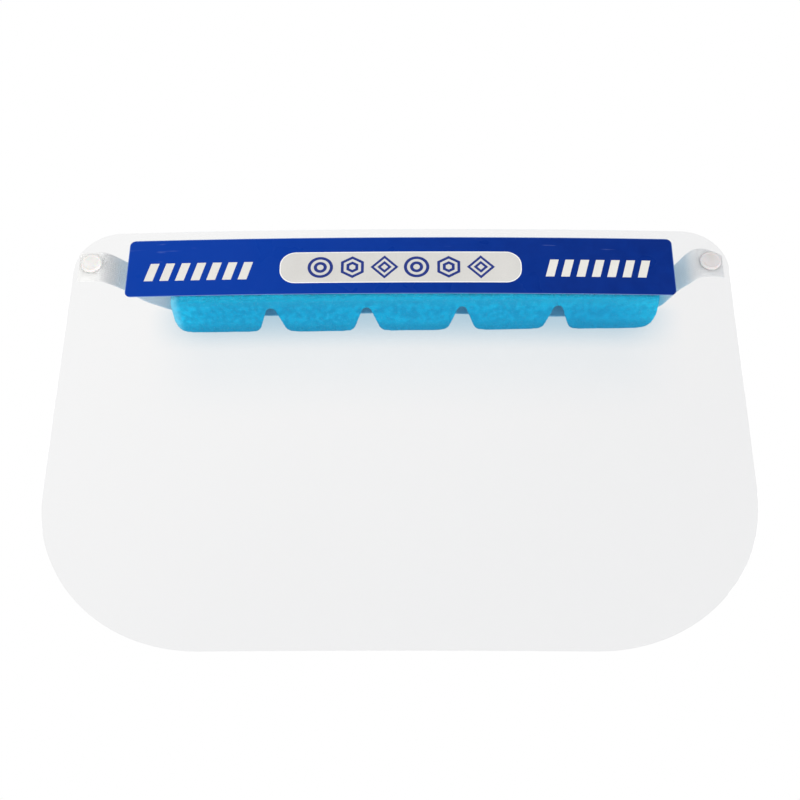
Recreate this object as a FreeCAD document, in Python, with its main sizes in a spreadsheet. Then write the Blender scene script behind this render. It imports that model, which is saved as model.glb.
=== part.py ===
"""Disposable face shield: a clear curved sheet with a header band, a foam brow pad and an elastic.

Lengths are millimetres. +Z is up and -Y points forward, away from the wearer's face. The origin
is on the back of the foam pad, where it meets the forehead, midway between the two snaps.
Left and right are as seen from in front of the shield.
"""
import math
import os

import FreeCAD
import Part
import Sketcher

Vector = FreeCAD.Vector

# Each driving dimension: the cell's alias, its value, and what it measures.
DIMENSIONS = [
    ("VisorWidth", 320, "clear sheet, side to side"),
    ("VisorHeight", 220, "clear sheet, top edge to bottom edge"),
    ("VisorThickness", 0.3, "clear sheet's thickness"),
    ("VisorTop", 23.7, "height of the sheet's top edge above the origin"),
    ("VisorTopCorner", 22, "radius of the sheet's upper corners"),
    ("VisorLowCorner", 76, "radius of the sheet's lower corners"),
    ("BendRadius", 3600, "radius of the sheet's gentle bend, to its front"),
    ("BandWidth", 266.4, "header band, side to side"),
    ("BandHeight", 33.4, "header band, top to bottom"),
    ("BandThickness", 0.15, "header band's thickness"),
    ("BandDrop", 5, "from the sheet's top edge down to the band"),
    ("BandCorner", 3.2, "radius of the band's corners"),
    ("FoamHeight", 34, "foam pad, top to bottom"),
    ("FoamDepth", 28, "foam pad, front to back at its middle"),
    ("FoamLeft", -110.8, "foam pad's left end"),
    ("FoamRight", 125, "foam pad's right end"),
    ("FoamCorner", 9, "radius of the pad's two back corners"),
    ("NotchRoot", 5.6, "width of a notch at its root"),
    ("NotchMouth", 13.7, "width of a notch at the pad's back"),
    ("NotchDepth", 19.6, "how far a notch reaches into the pad"),
    ("NotchPitch", 46.5, "from one notch to the next"),
    ("NotchCount", 4, "number of notches"),
    ("NotchMiddle", 6.9, "middle of the row of notches"),
    ("TapeThickness", 0.25, "double-sided tape between sheet and pad"),
    ("TapeHeight", 26, "tape, top to bottom"),
    ("TapeInset", 5, "tape's ends inside the pad's ends"),
    ("StrapWidth", 17.5, "elastic, edge to edge"),
    ("StrapThickness", 0.9, "elastic's thickness"),
    ("StrapDrop", 20.8, "from the sheet's top edge down to the elastic's middle"),
    ("StrapGap", 0.05, "clearance between the elastic and what it lies along"),
    ("StrapOverhang", 6.2, "elastic's cut end beyond the snap"),
    ("StrapFlat", 10.5, "elastic lying along the sheet, inboard of the snap"),
    ("StrapKneeLeft", -127, "where the elastic bends on its way to the pad, left"),
    ("StrapKneeRight", 132, "where the elastic bends on its way to the pad, right"),
    ("StrapKneeBack", -9.3, "how far back those two bends are"),
    ("StrapLeaveBend", 8, "elastic's bend radius where it leaves the sheet"),
    ("StrapKneeBend", 12, "elastic's bend radius at the knees"),
    ("SnapOffset", 151.3, "snap's distance from the middle"),
    ("SnapDrop", 17.9, "from the sheet's top edge down to the snaps"),
    ("SnapHole", 3.2, "hole through sheet, elastic and socket for the snap's pin"),
    ("PinDiameter", 3.1, "snap's pin"),
    ("CapDiameter", 10.7, "snap cap"),
    ("CapEdge", 0.8, "snap cap's height at its rim"),
    ("CapCrown", 1.7, "snap cap's height at its middle"),
    ("CapRound", 0.3, "rounding of the cap's rim"),
    ("SocketDiameter", 9.9, "snap socket"),
    ("SocketHeight", 2.4, "snap socket, front to back"),
    ("SocketFloor", 0.7, "snap socket's floor, which the pin goes through"),
    ("SocketRecess", 5.8, "diameter of the socket's recess"),
    ("SocketLip", 0.3, "how far the lip reaches into the recess"),
    ("SocketLipHeight", 0.5, "height of that lip"),
    ("SocketRound", 0.35, "rounding of the socket's back rim"),
    ("HeadDiameter", 4.4, "pin's flattened head inside the socket"),
    ("HeadHeight", 0.5, "height of that head"),
]

# A blank is this much larger all round than the outline that is cut from it.
TRIM = 1.0
# A rim is found when its radius and height match to within this length.
RIM_MATCH = 1e-4
# A step that changes a body's volume by less than this has done nothing.
LEAST_CHANGE = 1e-6

UP = Vector(0, 0, 1)


class Size:
    """A length worked out from the spreadsheet, held as a number and as its expression."""

    def __init__(self, value, text):
        self.value = value
        self.text = text

    def combine(self, other, sign, value_of):
        if not isinstance(other, Size):
            other = Size(other, str(other))
        return Size(value_of(self.value, other.value), f"({self.text} {sign} {other.text})")

    def __add__(self, other):
        return self.combine(other, "+", lambda a, b: a + b)

    def __sub__(self, other):
        return self.combine(other, "-", lambda a, b: a - b)

    def __mul__(self, other):
        return self.combine(other, "*", lambda a, b: a * b)

    def __truediv__(self, other):
        return self.combine(other, "/", lambda a, b: a / b)

    def __neg__(self):
        return self * -1


ZERO = Size(0, "0")


class Dimensions:
    """Every driving dimension by name, such as dims.VisorWidth, as a Size."""

    def __init__(self, doc):
        sheet = doc.addObject("Spreadsheet::Sheet", "Dimensions")
        for row, (alias, value, meaning) in enumerate(DIMENSIONS, start=1):
            sheet.set(f"A{row}", alias)
            sheet.set(f"B{row}", str(value))
            sheet.setAlias(f"B{row}", alias)
            sheet.set(f"C{row}", meaning)
        doc.recompute()
        for alias, value, meaning in DIMENSIONS:
            setattr(self, alias, Size(sheet.get(alias), "Dimensions." + alias))
        # The centre of the bend behind the shield, and the levels that hang from the top edge.
        self.bend_centre = self.BendRadius - self.FoamDepth - self.TapeThickness - self.VisorThickness
        self.strap_middle = self.VisorTop - self.StrapDrop
        self.snap_height = self.VisorTop - self.SnapDrop
        # What lies between the sheet's front and the socket, and the socket's floor with it.
        self.stack = self.VisorThickness + self.StrapGap + self.StrapThickness
        self.stack_with_floor = self.stack + self.SocketFloor


# ---------------------------------------------------------------- bodies and sketches


def make_body(doc, label):
    body = doc.addObject("PartDesign::Body", label)
    body.Label = label
    return body


def add_sketch(body, name, role):
    """A sketch on one of the body's own origin planes."""
    sketch = body.newObject("Sketcher::SketchObject", name)
    plane = next(f for f in body.Origin.OriginFeatures if f.Role == role)
    sketch.AttachmentSupport = [(plane, "")]
    sketch.MapMode = "FlatFace"
    return sketch


def bind(sketch, name, kind, places, size):
    """Add one named dimension to a sketch and tie it to the spreadsheet."""
    index = sketch.addConstraint(Sketcher.Constraint(kind, *places, size.value))
    sketch.renameConstraint(index, name)
    sketch.setExpression("Constraints." + name, size.text)


def bind_point(sketch, name, point, across, up):
    """Place a point, given as a geometry number and its end, by its distances from the origin."""
    bind(sketch, name + "_x", "DistanceX", (-1, 1) + point, across)
    bind(sketch, name + "_y", "DistanceY", (-1, 1) + point, up)


def add_line(sketch, start, stop):
    """A line between two points, each a vector or a pair of numbers."""
    ends = [Vector(point[0], point[1], 0) for point in (start, stop)]
    return sketch.addGeometry(Part.LineSegment(*ends), False)


def arc_about(centre_x, centre_y, radius, start, stop):
    circle = Part.Circle(Vector(centre_x, centre_y, 0), UP, radius)
    return Part.ArcOfCircle(circle, start, stop)


def front_arc(dims, radius, left, right):
    """The forward side of a circle about the bend's centre, from one side to the other."""
    start = math.asin(left.value / radius.value) - math.pi / 2
    stop = math.asin(right.value / radius.value) - math.pi / 2
    return arc_about(0, dims.bend_centre.value, radius.value, start, stop)


def join(sketch, *pairs):
    """Make ends meet; each pair is (geometry, end, geometry, end)."""
    for pair in pairs:
        sketch.addConstraint(Sketcher.Constraint("Coincident", *pair))


def add_polygon(sketch, corners):
    """A closed outline of straight sides whose corners are (across, up) pairs of sizes."""
    numbers = []
    for position, (across, up) in enumerate(corners):
        next_across, next_up = corners[(position + 1) % len(corners)]
        numbers.append(
            add_line(sketch, (across.value, up.value), (next_across.value, next_up.value))
        )
    for position, number in enumerate(numbers):
        join(sketch, (number, 2, numbers[(position + 1) % len(numbers)], 1))
        bind_point(sketch, f"corner_{number}", (number, 1), *corners[position])
    return numbers


def check_volume(body, name, before, grows):
    body.Document.recompute()
    change = body.Shape.Volume - before
    if abs(change) < LEAST_CHANGE or (change > 0) != grows:
        raise RuntimeError(f"{name} changed {body.Label} by {change} cubic millimetres")


def pad_upward(body, name, sketch, length):
    pad = body.newObject("PartDesign::Pad", name)
    pad.Profile = sketch
    pad.Length = length.value
    pad.setExpression("Length", length.text)
    check_volume(body, name, 0, grows=True)
    return pad


def cut_through(body, name, sketch):
    """Cut a sketch right through its body, both ways."""
    before = body.Shape.Volume
    pocket = body.newObject("PartDesign::Pocket", name)
    pocket.Profile = sketch
    pocket.Type = "ThroughAll"
    pocket.SideType = "Symmetric"
    check_volume(body, name, before, grows=False)
    return pocket


def turn_about_axis(body, name, sketch):
    turned = body.newObject("PartDesign::Revolution", name)
    turned.Profile = sketch
    turned.ReferenceAxis = (sketch, ["V_Axis"])
    turned.Angle = 360
    check_volume(body, name, 0, grows=True)
    return turned


def round_rim(body, name, radius, height, size):
    """Round the full circle of a turned body that has this radius at this height."""
    base = body.Tip
    rims = [
        f"Edge{number}"
        for number, edge in enumerate(base.Shape.Edges, start=1)
        if not edge.Degenerated
        and isinstance(edge.Curve, Part.Circle)
        and abs(edge.Curve.Radius - radius.value) < RIM_MATCH
        and abs(edge.Curve.Center.z - height.value) < RIM_MATCH
    ]
    before = body.Shape.Volume
    rounding = body.newObject("PartDesign::Fillet", name)
    rounding.Base = (base, rims)
    rounding.Radius = size.value
    rounding.setExpression("Radius", size.text)
    check_volume(body, name, before, grows=False)


# ---------------------------------------------------------------- layers bent with the sheet


def bent_layer(doc, dims, label, front, thickness, sides):
    """A layer bent about the shield's upright axis; sides are left, low, right and high."""
    left, low, right, high = sides
    body = make_body(doc, label)
    section = add_sketch(body, label + "_section", "XY_Plane")
    section.AttachmentOffset = FreeCAD.Placement(Vector(0, 0, low.value), FreeCAD.Rotation())
    section.setExpression("AttachmentOffset.Base.z", low.text)

    back = front - thickness
    front_edge = front_arc(dims, front, left, right)
    back_edge = front_arc(dims, back, left, right)
    section.addGeometry([front_edge, back_edge], False)
    left_end = add_line(section, front_edge.StartPoint, back_edge.StartPoint)
    right_end = add_line(section, front_edge.EndPoint, back_edge.EndPoint)
    section.addConstraint(Sketcher.Constraint("PointOnObject", 0, 3, -2))
    join(section, (1, 3, 0, 3), (left_end, 1, 0, 1), (left_end, 2, 1, 1))
    join(section, (right_end, 1, 0, 2), (right_end, 2, 1, 2))
    section.addConstraint(Sketcher.Constraint("Vertical", left_end))
    section.addConstraint(Sketcher.Constraint("Vertical", right_end))
    bind(section, "centre", "DistanceY", (-1, 1, 0, 3), dims.bend_centre)
    bind(section, "front", "Radius", (0,), front)
    bind(section, "back", "Radius", (1,), back)
    bind(section, "left", "DistanceX", (-1, 1, 0, 1), left)
    bind(section, "right", "DistanceX", (-1, 1, 0, 2), right)
    pad_upward(body, label + "_pad", section, high - low)
    return body


def add_rounded_outline(sketch, sides, top_radius, low_radius):
    """A closed outline with round corners, from its low edge round by the right."""
    left, low, right, high = sides
    corners = [
        (right - low_radius, low + low_radius, low_radius),
        (right - top_radius, high - top_radius, top_radius),
        (left + top_radius, high - top_radius, top_radius),
        (left + low_radius, low + low_radius, low_radius),
    ]
    arcs = []
    for number, (across, up, radius) in enumerate(corners):
        start = (number - 1) * math.pi / 2
        arcs.append(arc_about(across.value, up.value, radius.value, start, start + math.pi / 2))
    for number, arc in enumerate(arcs):
        add_line(sketch, arcs[number - 1].EndPoint, arc.StartPoint)
        sketch.addGeometry(arc, False)
    for number, (across, up, radius) in enumerate(corners):
        line = 2 * number
        arc = line + 1
        following = (line + 2) % 8
        sketch.addConstraint(Sketcher.Constraint("Tangent", line, 2, arc, 1))
        sketch.addConstraint(Sketcher.Constraint("Tangent", arc, 2, following, 1))
        sketch.addConstraint(Sketcher.Constraint("Vertical" if number % 2 else "Horizontal", line))
        bind(sketch, f"radius_{number}", "Radius", (arc,), radius)
    bind(sketch, "low", "DistanceY", (-1, 1, 0, 1), low)
    bind(sketch, "right", "DistanceX", (-1, 1, 2, 1), right)
    bind(sketch, "high", "DistanceY", (-1, 1, 4, 1), high)
    bind(sketch, "left", "DistanceX", (-1, 1, 6, 1), left)


def widened(sides):
    """The same four sides, each moved outward by the trim."""
    left, low, right, high = sides
    return left - TRIM, low - TRIM, right + TRIM, high + TRIM


def die_cut_layer(doc, dims, label, front, thickness, sides, top_radius, low_radius):
    """A bent layer with round corners: a larger blank, trimmed to its outline."""
    blank = widened(sides)
    body = bent_layer(doc, dims, label, front, thickness, blank)
    outline = add_sketch(body, label + "_outline", "XZ_Plane")
    add_rounded_outline(outline, sides, top_radius, low_radius)
    left, low, right, high = widened(blank)
    add_polygon(outline, [(left, low), (right, low), (right, high), (left, high)])
    cut_through(body, label + "_die_cut", outline)
    return body


def make_visor(doc, dims):
    """The clear sheet, with one hole at each end for a snap."""
    half = dims.VisorWidth / 2
    sides = (-half, dims.VisorTop - dims.VisorHeight, half, dims.VisorTop)
    body = die_cut_layer(
        doc,
        dims,
        "visor",
        dims.BendRadius,
        dims.VisorThickness,
        sides,
        dims.VisorTopCorner,
        dims.VisorLowCorner,
    )
    holes = add_sketch(body, "snap_holes", "XZ_Plane")
    for name, across in (("left", -dims.SnapOffset), ("right", dims.SnapOffset)):
        centre = Vector(across.value, dims.snap_height.value, 0)
        circle = Part.Circle(centre, UP, dims.SnapHole.value / 2)
        number = holes.addGeometry(circle, False)
        bind(holes, name + "_radius", "Radius", (number,), dims.SnapHole / 2)
        bind_point(holes, name, (number, 3), across, dims.snap_height)
    cut_through(body, "snap_holes_cut", holes)
    return body


def make_header_band(doc, dims):
    """The coloured film stuck across the top of the sheet's front."""
    half = dims.BandWidth / 2
    high = dims.VisorTop - dims.BandDrop
    return die_cut_layer(
        doc,
        dims,
        "header_band",
        dims.BendRadius + dims.BandThickness,
        dims.BandThickness,
        (-half, high - dims.BandHeight, half, high),
        dims.BandCorner,
        dims.BandCorner,
    )


def make_foam_tape(doc, dims):
    """Double-sided tape between the sheet's back and the pad's front."""
    half = dims.TapeHeight / 2
    return bent_layer(
        doc,
        dims,
        "foam_tape",
        dims.BendRadius - dims.VisorThickness,
        dims.TapeThickness,
        (dims.FoamLeft + dims.TapeInset, -half, dims.FoamRight - dims.TapeInset, half),
    )


# ---------------------------------------------------------------- the brow pad


def add_pad_outline(sketch, dims):
    """The pad from above: a bent front, straight ends, and a flat back with round corners."""
    radius = dims.FoamCorner
    front_radius = dims.BendRadius - dims.VisorThickness - dims.TapeThickness
    front = front_arc(dims, front_radius, dims.FoamLeft, dims.FoamRight)
    left = dims.FoamLeft.value
    right = dims.FoamRight.value
    back = -radius.value
    right_arc = arc_about(right - radius.value, back, radius.value, 0, math.pi / 2)
    left_arc = arc_about(left + radius.value, back, radius.value, math.pi / 2, math.pi)
    sketch.addGeometry([front, right_arc, left_arc], False)
    right_end = add_line(sketch, front.EndPoint, right_arc.StartPoint)
    back_edge = add_line(sketch, right_arc.EndPoint, left_arc.StartPoint)
    left_end = add_line(sketch, left_arc.EndPoint, front.StartPoint)

    sketch.addConstraint(Sketcher.Constraint("PointOnObject", 0, 3, -2))
    join(sketch, (right_end, 1, 0, 2), (left_end, 2, 0, 1))
    for tangent in (
        (right_end, 2, 1, 1),
        (1, 2, back_edge, 1),
        (back_edge, 2, 2, 1),
        (2, 2, left_end, 1),
    ):
        sketch.addConstraint(Sketcher.Constraint("Tangent", *tangent))
    sketch.addConstraint(Sketcher.Constraint("Vertical", right_end))
    sketch.addConstraint(Sketcher.Constraint("Vertical", left_end))
    sketch.addConstraint(Sketcher.Constraint("PointOnObject", back_edge, 1, -1))
    sketch.addConstraint(Sketcher.Constraint("Horizontal", back_edge))
    bind(sketch, "centre", "DistanceY", (-1, 1, 0, 3), dims.bend_centre)
    bind(sketch, "front", "Radius", (0,), front_radius)
    bind(sketch, "right_corner", "Radius", (1,), radius)
    bind(sketch, "left_corner", "Radius", (2,), radius)
    bind(sketch, "left", "DistanceX", (-1, 1, left_end, 2), dims.FoamLeft)
    bind(sketch, "right", "DistanceX", (-1, 1, right_end, 1), dims.FoamRight)


def make_foam_pad(doc, dims):
    """The foam block, with a row of upright notches in its back that let it bend."""
    body = make_body(doc, "foam_pad")
    outline = add_sketch(body, "pad_outline", "XY_Plane")
    bottom = -dims.FoamHeight / 2
    outline.AttachmentOffset = FreeCAD.Placement(Vector(0, 0, bottom.value), FreeCAD.Rotation())
    outline.setExpression("AttachmentOffset.Base.z", bottom.text)
    add_pad_outline(outline, dims)
    pad_upward(body, "pad_block", outline, dims.FoamHeight)

    notch = add_sketch(body, "notch_outline", "XY_Plane")
    middle = dims.NotchMiddle - dims.NotchPitch * (dims.NotchCount - 1) / 2
    root = -dims.NotchDepth
    corners = [
        (middle - dims.NotchRoot / 2, root),
        (middle + dims.NotchRoot / 2, root),
        (middle + dims.NotchMouth / 2, ZERO),
        (middle - dims.NotchMouth / 2, ZERO),
    ]
    add_polygon(notch, corners)
    one_notch = cut_through(body, "notch", notch)

    before = body.Shape.Volume
    row = body.newObject("PartDesign::LinearPattern", "notch_row")
    row.Originals = [one_notch]
    row.Direction = (notch, ["H_Axis"])
    row.Length = (dims.NotchPitch * (dims.NotchCount - 1)).value
    row.setExpression("Length", (dims.NotchPitch * (dims.NotchCount - 1)).text)
    row.Occurrences = int(dims.NotchCount.value)
    row.setExpression("Occurrences", dims.NotchCount.text)
    body.Tip = row
    check_volume(body, "notch_row", before, grows=False)
    return body


# ---------------------------------------------------------------- the snaps


def snap_placement(dims, side):
    """On the sheet's front at one snap: local +Z points forward out of the sheet, +Y up."""
    radius = dims.BendRadius.value
    angle = math.asin(side * dims.SnapOffset.value / radius)
    along = Vector(math.cos(angle), math.sin(angle), 0)
    outward = Vector(math.sin(angle), -math.cos(angle), 0)
    place = Vector(0, dims.bend_centre.value, dims.snap_height.value) + outward * radius
    return FreeCAD.Placement(place, FreeCAD.Rotation(along, UP, outward, "ZYX"))


def make_snap_cap(doc, dims, label, placement):
    """A domed cap whose pin goes through the sheet and elastic and is flattened in the socket."""
    body = make_body(doc, label)
    profile = add_sketch(body, label + "_profile", "XZ_Plane")
    floor_back = -dims.stack_with_floor
    pin = dims.PinDiameter / 2
    head = dims.HeadDiameter / 2
    rim = dims.CapDiameter / 2
    corners = [
        (ZERO, dims.CapCrown),
        (ZERO, floor_back - dims.HeadHeight),
        (head, floor_back - dims.HeadHeight),
        (head, floor_back),
        (pin, floor_back),
        (pin, ZERO),
        (rim, ZERO),
        (rim, dims.CapEdge),
    ]
    lines = []
    for start, stop in zip(corners, corners[1:]):
        begin = (start[0].value, start[1].value)
        end = (stop[0].value, stop[1].value)
        lines.append(add_line(profile, begin, end))
    for position, number in enumerate(lines):
        bind_point(profile, f"corner_{number}", (number, 1), *corners[position])
        if position:
            join(profile, (lines[position - 1], 2, number, 1))
    bind_point(profile, "rim", (lines[-1], 2), *corners[-1])

    rise = (dims.CapCrown - dims.CapEdge).value
    dome_radius = (rim.value**2 + rise**2) / (2 * rise)
    dome_centre = dims.CapCrown.value - dome_radius
    rim_angle = math.acos(rim.value / dome_radius)
    dome = arc_about(0, dome_centre, dome_radius, rim_angle, math.pi / 2)
    number = profile.addGeometry(dome, False)
    join(profile, (number, 1, lines[-1], 2), (number, 2, lines[0], 1))
    profile.addConstraint(Sketcher.Constraint("PointOnObject", number, 3, -2))
    turn_about_axis(body, label + "_turned", profile)
    round_rim(body, label + "_rim", rim, dims.CapEdge, dims.CapRound)
    body.Placement = placement
    return body


def make_snap_socket(doc, dims, label, placement):
    """The ring behind the elastic: a floor with a hole, and a recess with a sprung lip."""
    body = make_body(doc, label)
    profile = add_sketch(body, label + "_profile", "XZ_Plane")
    front = -dims.stack
    floor_back = -dims.stack_with_floor
    back = front - dims.SocketHeight
    lip_front = back + dims.SocketLipHeight
    hole = dims.SnapHole / 2
    rim = dims.SocketDiameter / 2
    recess = dims.SocketRecess / 2
    lip = recess - dims.SocketLip
    corners = [
        (hole, front),
        (hole, floor_back),
        (recess, floor_back),
        (recess, lip_front),
        (lip, lip_front),
        (lip, back),
        (rim, back),
        (rim, front),
    ]
    add_polygon(profile, corners)
    turn_about_axis(body, label + "_turned", profile)
    round_rim(body, label + "_rim", rim, back, dims.SocketRound)
    body.Placement = placement
    return body


# ---------------------------------------------------------------- the elastic


def ribbon_face(points, radii, thickness):
    """A flat band of even thickness along straight runs in plan, joined by tangent arcs."""
    runs = [(b - a).normalize() for a, b in zip(points, points[1:])]
    sides = []
    for offset in (thickness / 2, -thickness / 2):
        edges = []
        begin = points[0] + UP.cross(runs[0]) * offset
        for corner, radius, run_in, run_out in zip(points[1:-1], radii, runs, runs[1:]):
            turn = run_in.getAngle(run_out) * math.copysign(1, run_in.cross(run_out).z)
            reach = radius * math.tan(abs(turn) / 2)
            towards_centre = UP.cross(run_in) * math.copysign(1, turn)
            centre = corner - run_in * reach + towards_centre * radius
            half_turn = FreeCAD.Rotation(UP, math.degrees(turn / 2))
            arc_start = corner - run_in * reach + UP.cross(run_in) * offset
            arc_middle = centre + half_turn.multVec(arc_start - centre)
            arc_stop = corner + run_out * reach + UP.cross(run_out) * offset
            edges.append(Part.LineSegment(begin, arc_start).toShape())
            edges.append(Part.Arc(arc_start, arc_middle, arc_stop).toShape())
            begin = arc_stop
        stop = points[-1] + UP.cross(runs[-1]) * offset
        edges.append(Part.LineSegment(begin, stop).toShape())
        sides.append(edges)
    ends = [
        Part.LineSegment(sides[0][0].firstVertex().Point, sides[1][0].firstVertex().Point),
        Part.LineSegment(sides[0][-1].lastVertex().Point, sides[1][-1].lastVertex().Point),
    ]
    outline = sides[0] + sides[1] + [end.toShape() for end in ends]
    return Part.Face(Part.Wire(Part.sortEdges(outline)[0]))


def rounding_point(knee, centre, distance, back):
    """Where a line from the knee, passing a corner's centre at a distance, meets the back line."""
    to_centre = centre - knee
    side = math.copysign(1, to_centre.x)
    lift = math.asin(distance / to_centre.Length)
    heading = math.atan2(to_centre.y, to_centre.x * side) + lift
    return Vector(knee.x + side * (back - knee.y) / math.tan(heading), back, 0)


def strap_route(dims):
    """The elastic's middle line in plan: along the sheet, over to the pad, and along its back."""
    half = dims.StrapThickness.value / 2
    clear = dims.StrapGap.value + half
    corner = dims.FoamCorner.value
    behind_sheet = -(dims.VisorThickness.value + clear)
    points = []
    for side, knee_x, pad_end in (
        (-1, dims.StrapKneeLeft.value, dims.FoamLeft.value),
        (1, dims.StrapKneeRight.value, dims.FoamRight.value),
    ):
        placement = snap_placement(dims, side)
        ends = [
            placement.multVec(Vector(side * along, 0, behind_sheet))
            for along in (dims.StrapOverhang.value, -dims.StrapFlat.value)
        ]
        knee = Vector(knee_x, dims.StrapKneeBack.value, 0)
        corner_centre = Vector(pad_end - side * corner, -corner, 0)
        rounding = rounding_point(knee, corner_centre, corner + clear, clear)
        half_route = [Vector(end.x, end.y, 0) for end in ends] + [knee, rounding]
        points += half_route if side < 0 else half_route[::-1]
    bends = [dims.StrapLeaveBend.value, dims.StrapKneeBend.value, corner + clear]
    return points, bends + bends[::-1]


def make_elastic_strap(doc, dims):
    points, radii = strap_route(dims)
    face = ribbon_face(points, radii, dims.StrapThickness.value)
    face.translate(UP * (dims.strap_middle - dims.StrapWidth / 2).value)
    ribbon = face.extrude(UP * dims.StrapWidth.value)
    reach = dims.stack_with_floor.value
    for side in (-1, 1):
        hole = Part.makeCylinder(dims.SnapHole.value / 2, 2 * reach, Vector(0, 0, -reach), UP)
        hole.Placement = snap_placement(dims, side)
        ribbon = ribbon.cut(hole)
    strap = doc.addObject("Part::Feature", "elastic_strap")
    strap.Label = "elastic_strap"
    strap.Shape = ribbon.Solids[0]
    strap.Placement = FreeCAD.Placement()
    return strap


# ---------------------------------------------------------------- the whole shield


def build():
    doc = FreeCAD.newDocument("face_shield")
    dims = Dimensions(doc)
    pieces = [
        make_visor(doc, dims),
        make_header_band(doc, dims),
        make_foam_tape(doc, dims),
        make_foam_pad(doc, dims),
        make_elastic_strap(doc, dims),
    ]
    for name, side in (("left", -1), ("right", 1)):
        placement = snap_placement(dims, side)
        pieces.append(make_snap_cap(doc, dims, name + "_snap_cap", placement))
        pieces.append(make_snap_socket(doc, dims, name + "_snap_socket", placement))
    doc.recompute()
    return doc, pieces


def check(doc, pieces):
    """Stop if any object of the document failed or any piece isn't one sound solid."""
    for item in doc.Objects:
        if "Invalid" in item.State or "Error" in item.State:
            raise RuntimeError(f"{item.Label} failed: {item.State}")
    for piece in pieces:
        shape = piece.Shape
        if shape.isNull() or not shape.isValid() or len(shape.Solids) != 1:
            raise RuntimeError(f"{piece.Label} isn't one valid solid")


def write(pieces):
    os.makedirs("parts", exist_ok=True)
    for piece in pieces:
        piece.Shape.exportStep(f"parts/{piece.Label}.step")
        box = piece.Shape.BoundBox
        print(
            f"{piece.Label}: {piece.Shape.Volume:.1f} mm3,"
            f" x {box.XMin:.2f}..{box.XMax:.2f}, y {box.YMin:.2f}..{box.YMax:.2f},"
            f" z {box.ZMin:.2f}..{box.ZMax:.2f}"
        )


def main():
    doc, pieces = build()
    check(doc, pieces)
    write(pieces)


main()
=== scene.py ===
"""The looks of a disposable face shield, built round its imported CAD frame.

Lengths are metres. +Z is up and -Y points forward, out of the wearer's face. Left and right are
as seen from in front. Pieces are placed by the frame's boxes and the sheet's bend; the prints
and the elastic's course are set out here, from the sheet's middle.
"""
import math

import bpy
from mathutils import Matrix, Vector, noise


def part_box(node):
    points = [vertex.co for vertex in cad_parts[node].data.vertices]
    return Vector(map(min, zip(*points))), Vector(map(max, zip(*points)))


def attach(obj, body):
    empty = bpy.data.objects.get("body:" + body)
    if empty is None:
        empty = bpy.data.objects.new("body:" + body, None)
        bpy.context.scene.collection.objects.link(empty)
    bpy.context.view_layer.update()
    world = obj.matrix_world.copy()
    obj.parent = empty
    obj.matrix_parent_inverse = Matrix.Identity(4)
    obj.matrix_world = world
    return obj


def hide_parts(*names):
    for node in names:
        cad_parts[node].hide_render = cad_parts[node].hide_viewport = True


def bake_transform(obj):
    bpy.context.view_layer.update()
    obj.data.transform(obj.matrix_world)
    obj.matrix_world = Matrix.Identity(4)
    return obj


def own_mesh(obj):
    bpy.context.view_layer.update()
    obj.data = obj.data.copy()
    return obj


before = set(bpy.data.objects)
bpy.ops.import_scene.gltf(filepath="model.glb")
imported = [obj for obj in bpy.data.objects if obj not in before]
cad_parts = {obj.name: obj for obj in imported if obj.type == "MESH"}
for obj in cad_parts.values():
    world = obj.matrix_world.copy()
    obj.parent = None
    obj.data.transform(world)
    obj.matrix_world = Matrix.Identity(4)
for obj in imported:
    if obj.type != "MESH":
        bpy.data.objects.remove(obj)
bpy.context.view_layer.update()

MM = 0.001
BEND_RADIUS = 3.6
VISOR_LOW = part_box("visor")[0]
BAND_LOW, BAND_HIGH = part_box("header_band")
FOAM_LOW, FOAM_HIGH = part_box("foam_pad")
BEND_CENTRE = Vector((0, VISOR_LOW.y + BEND_RADIUS, 0))
BAND_THICKNESS = VISOR_LOW.y - BAND_LOW.y


def on_sheet(across, up, proud=0.0):
    """The point of the sheet's bent front at a place across and up, moved outward by proud."""
    angle = math.asin(across / BEND_RADIUS)
    outward = Vector((math.sin(angle), -math.cos(angle), 0))
    return BEND_CENTRE + outward * (BEND_RADIUS + proud) + Vector((0, 0, up))


# ---------------------------------------------------------------- node trees


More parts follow.
